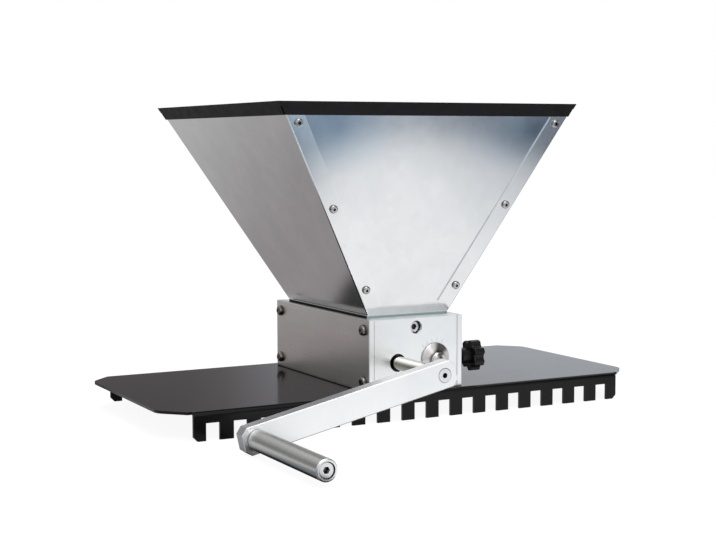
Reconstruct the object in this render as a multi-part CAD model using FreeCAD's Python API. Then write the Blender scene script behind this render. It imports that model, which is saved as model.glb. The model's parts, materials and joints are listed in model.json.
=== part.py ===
import FreeCAD, Part
import math
import os

from FreeCAD import Vector

# Two-roller malt mill with a sheet hopper, a hand crank and a slotted base plate.
# Lengths are in millimetres and angles in degrees.
# X runs along the base plate, the crank is on the -Y side and +Z is up.
# Heights start at the surface that the combs stand on.
# Y is measured from the middle of the mill body, and export_parts moves it to the middle of the whole.

# Base plate
plate_length = 386.0
plate_width = 175.0
plate_set_back = 3.0
plate_thickness = 2.0
plate_corner_cut = 19.0
plate_corner_radius = 12.0
plate_bend_radius = 3.0
plate_top = 20.0
outlet_width = 56.0
outlet_length = 118.0
outlet_corner_radius = 4.0
slot_count = 17
slot_pitch = 20.0
slot_width = 10.0
slot_height = 12.0
end_tooth_chamfer = 3.0

# Mill body
body_length = 156.0
body_width = 77.0
body_height = 52.5
side_plate_thickness = 4.0
end_block_thickness = 16.0
edge_break = 0.4

# Rollers and their shafts
roller_gap = 1.2
drive_wall_gap = 3.9
idle_wall_gap = 1.9
flute_count = 56
flute_depth = 0.7
roller_axis_rise = 20.7
drive_shaft_diameter = 10.0
idle_shaft_diameter = 8.0
thrust_washer_thickness = 1.0
thrust_washer_wall = 3.5
roller_end_float = 0.25

# Bushes
drive_bush_wall = 2.0
drive_bush_length = 12.0
idle_bush_wall = 2.0
idle_bush_length = 11.5
drive_face_hole_diameter = 13.0

# Eccentrics that set the roller gap
eccentric_diameter = 20.0
eccentric_throw = 2.0
gap_reserve = 0.5
eccentric_flange_diameter = 22.5
eccentric_flange_thickness = 1.5
eccentric_boss_diameter = 12.0
eccentric_boss_height = 3.0
eccentric_socket_width = 6.0
eccentric_socket_depth = 3.0
eccentric_groove_width = 6.0
eccentric_groove_depth = 1.0

# Lock knobs
lock_stud_diameter = 6.0
lock_tip_diameter = 4.5
lock_tip_length = 2.0
lock_knob_diameter = 22.8
lock_knob_thickness = 8.5
lock_knob_lobes = 7
lock_knob_scallop_radius = 3.2
lock_knob_scallop_depth = 2.2
lock_knob_lobe_rounding = 1.2
lock_knob_rounding = 0.8
lock_knob_turn = 28.5
lock_hub_diameter = 11.5
lock_hub_length = 7.0
lock_hub_standoff = 3.0
lock_stud_in_knob = 9.0

# Crank
crank_length = 142.0
crank_drop_angle = 12.3
arm_width = 18.6
arm_thickness = 10.0
arm_corner_cut = 4.0
arm_standoff = 55.0
tenon_width = 7.0
tenon_length = 5.0
grip_diameter = 14.0
grip_length = 98.0
grip_bolt_diameter = 6.0
grip_bolt_head_diameter = 10.0
grip_bolt_head_height = 6.0
grip_bolt_recess = 1.0
grip_washer_thickness = 1.0
grip_end_chamfer = 0.8

# Hopper
sheet_thickness = 1.0
neck_side_gap = 1.1
neck_overlap = 3.4
skirt_height = 2.0
rim_height = 224.0
rim_half_width = 117.6
rim_front = 103.2
rim_rear = 123.3
lap_width = 12.2
lap_foot_rise = 8.0
lap_fold_radius = 0.9
tab_depth = 13.5
chute_drop = 4.0
chute_angle = 63.0
chute_clearance = 2.0
trim_depth = 8.0
trim_wall = 1.2
trim_corner_gap = 0.6
trim_slit_width = 1.2
trim_slit_height = 5.5

# Screws: thread diameter, head diameter, head height and socket width by kind
m3_diameter = 3.0
m3_head_diameter = 5.9
m3_head_height = 1.8
m3_socket_width = 2.0
m3_nut_width = 5.5
m3_nut_height = 2.4
m4_diameter = 4.0
m4_head_diameter = 7.6
m4_head_height = 3.0
m4_socket_width = 2.5
m5_diameter = 5.0
m5_head_diameter = 8.5
m5_head_height = 5.0
m5_low_head_height = 2.8
m5_socket_width = 4.0
m5_nut_width = 8.0
m5_nut_height = 4.0
crank_screw_head_diameter = 9.4
crank_screw_head_height = 2.8
crank_screw_socket_width = 3.5
crank_screw_length = 16.0
side_screw_length = 12.0
side_screw_margin = 7.75
base_screw_spacing = 40.0
base_screw_length = 11.0
hopper_screw_length = 6.0
hopper_screw_rows = 3
hopper_screw_foot_margin = 15.0
hopper_screw_rim_margin = 5.0
mount_screw_margin = 7.0
mount_counterbore_depth = 8.5
socket_depth_share = 0.6

# Clearances, each on the radius or on one side
running_gap = 0.05
press_gap = 0.02
thread_gap = 0.06
screw_gap = 0.25
counterbore_gap = 0.5
sunk_head_gap = 0.35
seat_gap = 0.3

# Places worked out from the sizes above
block_outer = body_length / 2
block_inner = block_outer - end_block_thickness
block_middle = (block_outer + block_inner) / 2
body_inner_half = body_width / 2 - side_plate_thickness
neck_half_width = body_inner_half - neck_side_gap
neck_half_length = block_inner + neck_overlap
roller_diameter = body_inner_half - (drive_wall_gap + roller_gap + idle_wall_gap) / 2
drive_axis_x = drive_wall_gap + roller_diameter / 2 - body_inner_half
body_top = plate_top + body_height
axis_height = plate_top + roller_axis_rise
idle_axis_x = drive_axis_x + roller_diameter + roller_gap
rest_cosine = 1.0 - gap_reserve / eccentric_throw
rest_angle = math.degrees(math.acos(rest_cosine))
eccentric_x = idle_axis_x - eccentric_throw * rest_cosine
eccentric_height = axis_height + eccentric_throw * math.sin(math.radians(rest_angle))
roller_length = 2 * (block_inner - thrust_washer_thickness - roller_end_float)
arm_inner = block_outer + arm_standoff
arm_outer = arm_inner + arm_thickness
grip_start = arm_outer + grip_washer_thickness + seat_gap
grip_end = grip_start + grip_length
grip_x = drive_axis_x - crank_length * math.cos(math.radians(crank_drop_angle))
grip_height = axis_height - crank_length * math.sin(math.radians(crank_drop_angle))
fold_height = body_top + skirt_height
sheet_top = rim_height
trim_low = sheet_top - trim_depth
trim_top = sheet_top + trim_wall

AXIS_X = Vector(1, 0, 0)
AXIS_Y = Vector(0, 1, 0)
AXIS_Z = Vector(0, 0, 1)
FRONT = -1
REAR = 1


def block(x_range, y_range, z_range):
    """Box between two values on each axis."""
    low = Vector(x_range[0], y_range[0], z_range[0])
    size = Vector(x_range[1], y_range[1], z_range[1]) - low
    return Part.makeBox(size.x, size.y, size.z, low)


def rod(start, end, radius):
    """Cylinder from one point to another."""
    direction = end - start
    return Part.makeCylinder(radius, direction.Length, start, direction)


def tube(start, end, outer_radius, inner_radius):
    """Cylinder with a bore along its whole length."""
    return rod(start, end, outer_radius).cut(rod(start, end, inner_radius))


def ring_of_points(centre, direction, radii, turn=0.0):
    """Points round an axis, one for each radius, evenly spaced."""
    axis = Vector(direction).normalize()
    helper = AXIS_Z if abs(axis.z) < 0.9 else AXIS_X
    across = axis.cross(helper).normalize()
    along = axis.cross(across)
    points = []
    for index, radius in enumerate(radii):
        angle = math.radians(turn) + 2 * math.pi * index / len(radii)
        points.append(centre + across * (radius * math.cos(angle)) + along * (radius * math.sin(angle)))
    return points


def flat_face(corners):
    """Flat face inside a ring of corners."""
    return Part.Face(Part.makePolygon(corners + corners[:1]))


def extruded(points, travel):
    """Flat outline pushed along a vector."""
    return flat_face(points).extrude(travel)


def hexagon_bar(start, end, width):
    """Six-sided bar of a given width across its flats."""
    radius = width / math.sqrt(3)
    return extruded(ring_of_points(start, end - start, [radius] * 6), end - start)


def solid_between(lower, upper):
    """Closed solid with flat faces between two rings of matching corners."""
    if flat_face(lower).normalAt(0, 0).dot(upper[0] - lower[0]) < 0:
        lower, upper = lower[::-1], upper[::-1]
    rings = [lower[::-1], upper]
    for index in range(len(lower)):
        after = (index + 1) % len(lower)
        rings.append([lower[index], lower[after], upper[after], upper[index]])
    shell = Part.makeShell([flat_face(ring) for ring in rings])
    shell.sewShape()
    return Part.Solid(shell)


def tapered_block(low, high, x_sides, y_sides):
    """Solid between two heights whose upright faces are functions of the height."""
    rings = []
    for z in (low, high):
        left, right = x_sides[0](z), x_sides[1](z)
        near, far = y_sides[0](z), y_sides[1](z)
        rings.append([Vector(left, near, z), Vector(right, near, z), Vector(right, far, z), Vector(left, far, z)])
    return solid_between(rings[0], rings[1])


def joined(shapes):
    """One solid from shapes that touch or overlap."""
    return shapes[0].multiFuse(shapes[1:]).removeSplitter()


def edges_where(shape, test):
    """Edges whose two ends both pass a test."""
    found = []
    for edge in shape.Edges:
        if len(edge.Vertexes) == 2 and all(test(vertex.Point) for vertex in edge.Vertexes):
            found.append(edge)
    return found


def upright_edges(shape):
    """Edges that run straight up."""
    return [edge for edge in shape.Edges if edge.BoundBox.ZLength > edge.BoundBox.XLength + edge.BoundBox.YLength]


def circles_at(shape, centre, radius):
    """Full circular edges with a given centre and radius."""
    found = []
    for edge in shape.Edges:
        curve = edge.Curve
        if isinstance(curve, Part.Circle) and abs(curve.Radius - radius) < 1e-6:
            if (curve.Center - centre).Length < 1e-6:
                found.append(edge)
    return found


def flipped(shape):
    """The same shape on the other side of the body's middle plane along Y."""
    return shape.mirror(Vector(0, 0, 0), AXIS_Y)


def headed_screw(seat, outward, diameter, length, head_diameter, head_height, socket_width, rounding):
    """Screw whose head sits on a seat and whose shank runs inward."""
    outward = Vector(outward).normalize()
    head_top = seat + outward * head_height
    head = rod(seat, head_top, head_diameter / 2)
    head = head.makeFillet(rounding, circles_at(head, head_top, head_diameter / 2))
    shank = rod(seat - outward * length, seat, diameter / 2)
    socket_floor = head_top - outward * head_height * socket_depth_share
    return head.fuse(shank).cut(hexagon_bar(socket_floor, head_top + outward, socket_width))


def domed_screw(seat, outward, diameter, length, head_diameter, head_height, socket_width):
    """Screw whose head is rounded over most of its height."""
    return headed_screw(seat, outward, diameter, length, head_diameter, head_height, socket_width,
                        0.6 * head_height)


def nut(seat, outward, diameter, width, height):
    """Six-sided nut that stands on a seat."""
    outward = Vector(outward).normalize()
    body = hexagon_bar(seat, seat + outward * height, width)
    return body.cut(rod(seat - outward, seat + outward * (height + 1), diameter / 2 + thread_gap))


# Base plate

def comb_profile():
    """Section across the bent front edge, from the flat plate down to the teeth."""
    outer_y = -plate_width / 2
    inner_y = outer_y + plate_thickness
    under = plate_top - plate_thickness
    inner_radius = plate_bend_radius - plate_thickness
    bend_y = outer_y + plate_bend_radius
    bend_z = plate_top - plate_bend_radius
    half = math.sqrt(0.5)
    outer_arc = Part.Arc(Vector(0, bend_y, plate_top),
                         Vector(0, bend_y - plate_bend_radius * half, bend_z + plate_bend_radius * half),
                         Vector(0, outer_y, bend_z)).toShape()
    inner_arc = Part.Arc(Vector(0, inner_y, bend_z),
                         Vector(0, bend_y - inner_radius * half, bend_z + inner_radius * half),
                         Vector(0, bend_y, under)).toShape()
    down = Part.makePolygon([Vector(0, outer_y, bend_z), Vector(0, outer_y, 0),
                             Vector(0, inner_y, 0), Vector(0, inner_y, bend_z)])
    back = Part.makeLine(Vector(0, bend_y, under), Vector(0, bend_y, plate_top))
    return Part.Face(Part.Wire([outer_arc] + down.Edges + [inner_arc, back]))


def make_comb():
    """Bent front edge with its row of slots."""
    half_length = plate_length / 2 - plate_corner_cut
    profile = comb_profile()
    profile.translate(Vector(-half_length, 0, 0))
    comb = profile.extrude(Vector(2 * half_length, 0, 0))
    outer_y = -plate_width / 2
    y_range = (outer_y - 1, outer_y + plate_thickness + 1)
    slots = []
    for index in range(slot_count):
        middle = slot_pitch * (index - (slot_count - 1) / 2)
        slots.append(block((middle - slot_width / 2, middle + slot_width / 2), y_range, (-1, slot_height)))
    comb = comb.cut(slots)
    for end in (-1, 1):
        corner = [Vector(end * half_length, y_range[0], 0),
                  Vector(end * (half_length - end_tooth_chamfer), y_range[0], 0),
                  Vector(end * half_length, y_range[0], end_tooth_chamfer)]
        comb = comb.cut(extruded(corner, Vector(0, y_range[1] - y_range[0], 0)))
    return comb


def base_screw_points():
    """Middle of each screw that holds an end block, in plan."""
    points = []
    for x in (-base_screw_spacing / 2, base_screw_spacing / 2):
        for y in (-block_middle, block_middle):
            points.append((x, y))
    return points


def make_base_plate():
    """Sheet with cut corners, a grain outlet and a comb bent down at front and rear."""
    half_length = plate_length / 2
    half_width = plate_width / 2 - plate_bend_radius
    cut_end = half_length - plate_corner_cut + plate_bend_radius
    cut_side = plate_width / 2 - plate_corner_cut
    under = plate_top - plate_thickness
    outline = [Vector(-half_length, -cut_side, under), Vector(-cut_end, -half_width, under),
               Vector(cut_end, -half_width, under), Vector(half_length, -cut_side, under),
               Vector(half_length, cut_side, under), Vector(cut_end, half_width, under),
               Vector(-cut_end, half_width, under), Vector(-half_length, cut_side, under)]
    sheet = extruded(outline, Vector(0, 0, plate_thickness))
    ends = [edge for edge in upright_edges(sheet) if abs(abs(edge.Vertexes[0].X) - half_length) < 1e-6]
    sheet = sheet.makeFillet(plate_corner_radius, ends)
    outlet = block((-outlet_width / 2, outlet_width / 2), (-outlet_length / 2, outlet_length / 2),
                   (under - 1, plate_top + 1))
    outlet = outlet.makeFillet(outlet_corner_radius, upright_edges(outlet))
    comb = make_comb()
    plate = joined([sheet, comb, flipped(comb)])
    plate.translate(AXIS_Y * plate_set_back)
    plate = plate.cut(outlet)
    for x, y in base_screw_points():
        plate = plate.cut(rod(Vector(x, y, under - 1), Vector(x, y, plate_top + 1), m5_diameter / 2 + screw_gap))
    return plate


def make_base_screws():
    """Screws from under the plate into the end blocks."""
    screws = []
    for x, y in base_screw_points():
        seat = Vector(x, y, plate_top - plate_thickness)
        screws.append(headed_screw(seat, -AXIS_Z, m5_diameter, base_screw_length, m5_head_diameter,
                                   m5_low_head_height, m5_socket_width - 1, 0.5 * m5_low_head_height))
    return screws


# Body

def side_screw_points():
    """Y and height of each screw in a side plate."""
    points = []
    for y in (-block_middle, block_middle):
        for z in (plate_top + side_screw_margin, body_top - side_screw_margin):
            points.append((y, z))
    return points


def side_screw_holes(radius, x_start, x_end):
    """Cutters for the side plate screws over a stretch of X."""
    return [rod(Vector(x_start, y, z), Vector(x_end, y, z), radius) for y, z in side_screw_points()]


def make_side_plate(side):
    """Flat plate that closes one long side of the body."""
    inner = body_inner_half
    outer = body_width / 2
    plate = block((inner, outer), (-block_outer, block_outer), (plate_top, body_top))
    rim = edges_where(plate, lambda point: abs(point.x - outer) < 1e-6)
    plate = plate.makeChamfer(edge_break, rim)
    plate = plate.cut(side_screw_holes(m4_diameter / 2 + screw_gap, inner - 1, outer + 1))
    if side < 0:
        return plate.mirror(Vector(0, 0, 0), AXIS_X)
    for y in (-block_middle, block_middle):
        plate = plate.cut(rod(Vector(inner - 1, y, axis_height), Vector(outer + 1, y, axis_height),
                              lock_stud_diameter / 2 + screw_gap))
    return plate


def make_side_plate_screws():
    """Screws through both side plates into the end blocks."""
    screws = []
    for side in (-1, 1):
        for y, z in side_screw_points():
            seat = Vector(side * body_width / 2, y, z)
            screws.append(domed_screw(seat, AXIS_X * side, m4_diameter, side_screw_length, m4_head_diameter,
                                      m4_head_height, m4_socket_width))
    return screws


def make_front_block(drive_goes_through):
    """End block on the crank side, with its bearing seats and threaded holes."""
    solid = block((-body_inner_half, body_inner_half), (-block_outer, -block_inner), (plate_top, body_top))
    rim = edges_where(solid, lambda point: abs(point.y + block_outer) < 1e-6)
    solid = solid.makeChamfer(edge_break, rim)
    cutters = []
    pocket_end = -block_inner - drive_bush_length
    pocket_radius = drive_shaft_diameter / 2 + drive_bush_wall + press_gap
    cutters.append(rod(Vector(drive_axis_x, pocket_end, axis_height),
                       Vector(drive_axis_x, -block_inner + 1, axis_height), pocket_radius))
    if drive_goes_through:
        cutters.append(rod(Vector(drive_axis_x, -block_outer - 1, axis_height),
                           Vector(drive_axis_x, pocket_end + 1, axis_height), drive_face_hole_diameter / 2))
    cutters.append(rod(Vector(eccentric_x, -block_outer - 1, eccentric_height),
                       Vector(eccentric_x, -block_inner + 1, eccentric_height),
                       eccentric_diameter / 2 + running_gap))
    cutters.append(rod(Vector(eccentric_x, -block_middle, axis_height),
                       Vector(body_inner_half + 1, -block_middle, axis_height),
                       lock_stud_diameter / 2 + thread_gap))
    screw_end = body_width / 2 - side_screw_length
    for side in (-1, 1):
        for z in (plate_top + side_screw_margin, body_top - side_screw_margin):
            cutters.append(rod(Vector(side * screw_end, -block_middle, z),
                               Vector(side * (body_inner_half + 1), -block_middle, z),
                               m4_diameter / 2 + thread_gap))
        cutters.append(rod(Vector(side * base_screw_spacing / 2, -block_middle, plate_top - 1),
                           Vector(side * base_screw_spacing / 2, -block_middle,
                                  plate_top - plate_thickness + base_screw_length + seat_gap),
                           m5_diameter / 2 + thread_gap))
    mount_height = body_top - mount_screw_margin
    cutters.append(rod(Vector(0, -block_outer - 1, mount_height), Vector(0, -block_inner + 1, mount_height),
                       m5_diameter / 2 + screw_gap))
    cutters.append(rod(Vector(0, -block_outer - 1, mount_height),
                       Vector(0, -block_outer + mount_counterbore_depth, mount_height),
                       m5_head_diameter / 2 + counterbore_gap))
    return solid.cut(cutters)


def make_drive_bush(end):
    """Plain bush for the drive shaft, pressed in from the inner face of a block."""
    start = Vector(drive_axis_x, end * block_inner, axis_height)
    stop = Vector(drive_axis_x, end * (block_inner + drive_bush_length), axis_height)
    inner_radius = drive_shaft_diameter / 2 + running_gap
    return tube(start, stop, drive_shaft_diameter / 2 + drive_bush_wall, inner_radius)


def make_drive_thrust_washers():
    """Washers between the drive roller and the end blocks."""
    inner_radius = drive_shaft_diameter / 2 + screw_gap
    washers = []
    for end in (FRONT, REAR):
        start = Vector(drive_axis_x, end * (block_inner - thrust_washer_thickness), axis_height)
        stop = Vector(drive_axis_x, end * block_inner, axis_height)
        washers.append(tube(start, stop, inner_radius + thrust_washer_wall, inner_radius))
    return washers


# Rollers

def make_roller(axis_x, shaft_diameter):
    """Fluted roller with a bore for its shaft."""
    tip = roller_diameter / 2
    radii = [tip, tip - flute_depth] * flute_count
    start = Vector(axis_x, -roller_length / 2, axis_height)
    travel = Vector(0, roller_length, 0)
    body = extruded(ring_of_points(start, travel, radii), travel)
    return body.cut(rod(start, start + travel, shaft_diameter / 2 + press_gap))


def crank_turned(shape):
    """Shape of the crank, drawn level, turned down to its resting angle."""
    turned = shape.copy()
    turned.rotate(Vector(drive_axis_x, 0, axis_height), AXIS_Y, -crank_drop_angle)
    return turned


def square_bar(y_start, y_end, width):
    """Square bar along Y on the drive axis."""
    half = width / 2
    return block((drive_axis_x - half, drive_axis_x + half), (y_start, y_end),
                 (axis_height - half, axis_height + half))


def make_drive_shaft():
    """Shaft from the rear bush to the crank, with a square tenon and a threaded end."""
    rear_end = block_inner + drive_bush_length - seat_gap
    shaft = rod(Vector(drive_axis_x, -arm_inner, axis_height), Vector(drive_axis_x, rear_end, axis_height),
                drive_shaft_diameter / 2)
    tenon = square_bar(-arm_inner - tenon_length, -arm_inner, tenon_width)
    thread_end = -arm_outer + crank_screw_length + seat_gap
    thread = rod(Vector(drive_axis_x, -arm_outer, axis_height), Vector(drive_axis_x, thread_end, axis_height),
                 m5_diameter / 2 + thread_gap)
    return crank_turned(shaft.fuse(tenon).cut(thread))


def make_idle_shaft():
    """Shaft of the idle roller, carried by the bushes in the two eccentrics."""
    reach = block_inner + seat_gap + idle_bush_length - roller_end_float
    return rod(Vector(idle_axis_x, -reach, axis_height), Vector(idle_axis_x, reach, axis_height),
               idle_shaft_diameter / 2)


def make_idle_thrust_washers():
    """Washers that turn with the idle roller and face the eccentrics."""
    inner_radius = idle_shaft_diameter / 2 + press_gap
    washers = []
    for end in (FRONT, REAR):
        start = Vector(idle_axis_x, end * roller_length / 2, axis_height)
        stop = Vector(idle_axis_x, end * (roller_length / 2 + thrust_washer_thickness), axis_height)
        washers.append(tube(start, stop, inner_radius + thrust_washer_wall, inner_radius))
    return washers


# Eccentrics

def idle_bush_bore_end():
    """How far from the middle the bore for an idle bush reaches."""
    return block_inner + seat_gap + idle_bush_length


def make_front_eccentric():
    """Turning plug that carries one end of the idle roller off its centre."""
    centre = Vector(eccentric_x, 0, eccentric_height)
    bore_centre = Vector(idle_axis_x, 0, axis_height)
    back = -AXIS_Y * (block_inner + seat_gap)
    face = -AXIS_Y * block_outer
    flange_top = face - AXIS_Y * eccentric_flange_thickness
    boss_top = flange_top - AXIS_Y * eccentric_boss_height
    plug = rod(centre + back, centre + face, eccentric_diameter / 2)
    flange = rod(centre + face, centre + flange_top, eccentric_flange_diameter / 2)
    flange = flange.makeChamfer(edge_break, circles_at(flange, centre + flange_top, eccentric_flange_diameter / 2))
    boss = rod(bore_centre + flange_top, bore_centre + boss_top, eccentric_boss_diameter / 2)
    boss = boss.makeChamfer(2 * edge_break, circles_at(boss, bore_centre + boss_top, eccentric_boss_diameter / 2))
    groove_near = -AXIS_Y * (block_middle - eccentric_groove_width / 2)
    groove_far = -AXIS_Y * (block_middle + eccentric_groove_width / 2)
    groove = tube(centre + groove_near, centre + groove_far, eccentric_diameter / 2 + 1,
                  eccentric_diameter / 2 - eccentric_groove_depth)
    bore = rod(bore_centre + back + AXIS_Y, bore_centre - AXIS_Y * idle_bush_bore_end(),
               idle_shaft_diameter / 2 + idle_bush_wall + press_gap)
    socket = hexagon_bar(bore_centre + boss_top + AXIS_Y * eccentric_socket_depth,
                         bore_centre + boss_top - AXIS_Y, eccentric_socket_width)
    return joined([plug, flange, boss]).cut([groove, bore, socket])


def make_front_idle_bush():
    """Bush inside the front eccentric."""
    start = Vector(idle_axis_x, -block_inner - seat_gap, axis_height)
    stop = Vector(idle_axis_x, -idle_bush_bore_end(), axis_height)
    return tube(start, stop, idle_shaft_diameter / 2 + idle_bush_wall, idle_shaft_diameter / 2 + running_gap)


# Lock knobs

def knob_back():
    """X of the knob hub's face towards the body."""
    return body_width / 2 + lock_hub_standoff


def make_front_lock_stud():
    """Threaded stud whose tip presses on the groove of the eccentric."""
    y = -block_middle
    rise = eccentric_height - axis_height
    groove_radius = eccentric_diameter / 2 - eccentric_groove_depth
    tip_x = eccentric_x + math.sqrt(groove_radius ** 2 - rise ** 2) + seat_gap
    neck_x = tip_x + lock_tip_length
    tip = rod(Vector(tip_x, y, axis_height), Vector(neck_x, y, axis_height), lock_tip_diameter / 2)
    stud_end = knob_back() + lock_stud_in_knob
    stud = rod(Vector(neck_x, y, axis_height), Vector(stud_end, y, axis_height), lock_stud_diameter / 2)
    return tip.fuse(stud)


def make_front_lock_knob():
    """Lobed knob on the end of its stud."""
    y = -block_middle
    hub_start = Vector(knob_back(), y, axis_height)
    star_start = hub_start + AXIS_X * lock_hub_length
    star_end = star_start + AXIS_X * lock_knob_thickness
    outer = lock_knob_diameter / 2
    scallop_middle = outer + lock_knob_scallop_radius - lock_knob_scallop_depth
    turn = lock_knob_turn + 180.0 / lock_knob_lobes
    scallops = []
    for point in ring_of_points(star_start, AXIS_X, [scallop_middle] * lock_knob_lobes, turn):
        scallops.append(rod(point - AXIS_X, point + AXIS_X * (lock_knob_thickness + 1), lock_knob_scallop_radius))
    star = rod(star_start, star_end, outer).cut(scallops)
    ridges = [edge for edge in star.Edges if abs(edge.BoundBox.XLength - edge.Length) < 1e-6]
    star = star.makeFillet(lock_knob_lobe_rounding, ridges)
    rims = [edge for edge in star.Edges if abs(edge.BoundBox.XLength) < 1e-6]
    star = star.makeFillet(lock_knob_rounding, rims)
    hub = rod(hub_start, star_start + AXIS_X, lock_hub_diameter / 2)
    bore = rod(hub_start - AXIS_X, hub_start + AXIS_X * (lock_stud_in_knob + seat_gap),
               lock_stud_diameter / 2 + running_gap)
    return joined([star, hub]).cut(bore)


# Crank

def make_crank_arm():
    """Flat bar with cut corners, a square pocket for the shaft and a thread for the grip bolt."""
    half = arm_width / 2
    right = drive_axis_x + half
    left = drive_axis_x - crank_length - half
    low = axis_height - half
    high = axis_height + half
    cut = arm_corner_cut
    y = -arm_outer
    outline = [Vector(left + cut, y, low), Vector(right - cut, y, low), Vector(right, y, low + cut),
               Vector(right, y, high - cut), Vector(right - cut, y, high), Vector(left + cut, y, high),
               Vector(left, y, high - cut), Vector(left, y, low + cut)]
    arm = extruded(outline, Vector(0, arm_thickness, 0))
    rims = [edge for edge in arm.Edges if abs(edge.BoundBox.YLength) < 1e-6]
    arm = arm.makeChamfer(edge_break, rims)
    pocket = square_bar(-arm_inner - tenon_length - running_gap, -arm_inner + 1, tenon_width + 2 * running_gap)
    screw_hole = rod(Vector(drive_axis_x, -arm_outer - 1, axis_height), Vector(drive_axis_x, -arm_inner, axis_height),
                     m5_diameter / 2 + screw_gap)
    head_seat = crank_screw_cone(sunk_head_gap)
    grip_centre = Vector(drive_axis_x - crank_length, 0, axis_height)
    grip_hole = rod(grip_centre - AXIS_Y * (arm_outer + 1), grip_centre - AXIS_Y * (arm_inner - 1),
                    grip_bolt_diameter / 2 + thread_gap)
    return crank_turned(arm.cut([pocket, screw_hole, head_seat, grip_hole]))


def crank_screw_cone(gap):
    """Sunk head of the crank screw, or with a gap the seat for it."""
    small = m5_diameter / 2 + gap
    large = crank_screw_head_diameter / 2 + gap
    start = Vector(drive_axis_x, -arm_outer + crank_screw_head_height, axis_height)
    return Part.makeCone(small, large, crank_screw_head_height, start, -AXIS_Y)


def make_crank_screw():
    """Sunk screw that holds the arm on the shaft."""
    top = Vector(drive_axis_x, -arm_outer, axis_height)
    shank = rod(top + AXIS_Y * (crank_screw_head_height / 2), top + AXIS_Y * crank_screw_length, m5_diameter / 2)
    socket = hexagon_bar(top + AXIS_Y * crank_screw_head_height, top - AXIS_Y, crank_screw_socket_width)
    return crank_turned(crank_screw_cone(0.0).fuse(shank).cut(socket))


def grip_point(y):
    """Point on the axis of the grip."""
    return Vector(grip_x, y, grip_height)


def make_grip_sleeve():
    """Turned sleeve that spins on the grip bolt."""
    radius = grip_diameter / 2
    sleeve = rod(grip_point(-grip_start), grip_point(-grip_end), radius)
    rims = circles_at(sleeve, grip_point(-grip_start), radius) + circles_at(sleeve, grip_point(-grip_end), radius)
    sleeve = sleeve.makeChamfer(grip_end_chamfer, rims)
    head_end = -grip_end + grip_bolt_recess
    bore = rod(grip_point(-grip_start + 1), grip_point(-grip_end - 1), grip_bolt_diameter / 2 + running_gap)
    pocket = rod(grip_point(head_end + grip_bolt_head_height + seat_gap), grip_point(-grip_end - 1),
                 grip_bolt_head_diameter / 2 + screw_gap)
    return sleeve.cut([bore, pocket])


def make_grip_bolt():
    """Long bolt that carries the grip and screws into the arm."""
    seat = grip_point(-grip_end + grip_bolt_recess + grip_bolt_head_height)
    length = (seat - grip_point(-arm_inner)).Length
    return headed_screw(seat, -AXIS_Y, grip_bolt_diameter, length, grip_bolt_head_diameter,
                        grip_bolt_head_height, m5_socket_width, edge_break)


def make_grip_washer():
    """Washer between the arm and the grip."""
    return tube(grip_point(-arm_outer), grip_point(-arm_outer - grip_washer_thickness),
                grip_diameter / 2 - edge_break, grip_bolt_diameter / 2 + thread_gap)


# Hopper

def wall_reach(neck, rim, height, outward):
    """Distance from the middle to the outer face of a sloping wall, moved outward square to it."""
    lean = (rim - neck) / (rim_height - fold_height)
    return neck + lean * (height - fold_height) + outward * math.hypot(1.0, lean)


def side_wall(side, outward):
    """X of a left or right wall as a function of height."""
    return lambda z: side * wall_reach(neck_half_width, rim_half_width, z, outward)


def end_wall(end, outward):
    """Y of the front or rear wall as a function of height."""
    rim = rim_front if end == FRONT else rim_rear
    return lambda z: end * wall_reach(neck_half_length, rim, z, outward)


def mount_point(end, y):
    """Point on the axis of the screw that holds the hopper to an end block."""
    return Vector(0, end * y, body_top - mount_screw_margin)


def make_end_panel(end):
    """Front or rear sheet: tab, seat on the end block, skirt and sloping wall."""
    inside = -sheet_thickness
    wall = tapered_block(fold_height, sheet_top, [side_wall(-1, inside), side_wall(1, inside)],
                         [end_wall(end, 0.0), end_wall(end, inside)])
    skirt_outer = end * neck_half_length
    skirt_inner = skirt_outer - end * sheet_thickness
    tab_outer = end * block_inner
    tab_inner = tab_outer - end * sheet_thickness
    half = neck_half_width - sheet_thickness
    skirt = block((-half, half), sorted((skirt_outer, skirt_inner)), (body_top, fold_height))
    seat = block((-half, half), sorted((skirt_outer, tab_inner)), (body_top, body_top + sheet_thickness))
    tab = block((-half, half), sorted((tab_outer, tab_inner)), (body_top - tab_depth, body_top + sheet_thickness))
    hole = rod(mount_point(end, block_inner + 1), mount_point(end, block_inner - 2 * sheet_thickness),
               m5_diameter / 2 + screw_gap)
    panel = joined([wall, skirt, seat, tab]).cut(hole)
    return panel.cut(hopper_screw_holes(end))


def lap_slope():
    """Width of a lap, level, over its width square to its edge."""
    side_lean = (rim_half_width - neck_half_width) / (rim_height - fold_height)
    end_lean = (rim_front - neck_half_length) / (rim_height - fold_height)
    return math.hypot(1.0, side_lean / math.hypot(1.0, end_lean))


def lap(side, end):
    """Edge of a side sheet folded over the front or rear sheet."""
    level_width = lap_width * lap_slope()
    outer_x = side_wall(side, 0.0)
    face = end_wall(end, 0.0)
    top = end_wall(end, sheet_thickness)
    rings = []
    for outer_z, inner_z in ((fold_height, fold_height + lap_foot_rise), (trim_low, trim_low)):
        inner_x = outer_x(inner_z) - side * level_width
        rings.append([Vector(outer_x(outer_z), face(outer_z), outer_z), Vector(outer_x(outer_z), top(outer_z), outer_z),
                      Vector(inner_x, top(inner_z), inner_z), Vector(inner_x, face(inner_z), inner_z)])
    solid = solid_between(rings[0], rings[1])
    corner = [Vector(outer_x(z), top(z), z) for z in (fold_height, trim_low)]
    fold = edges_where(solid, lambda point: min((point - spot).Length for spot in corner) < 1e-6)
    return solid.makeFillet(lap_fold_radius, fold)


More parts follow.
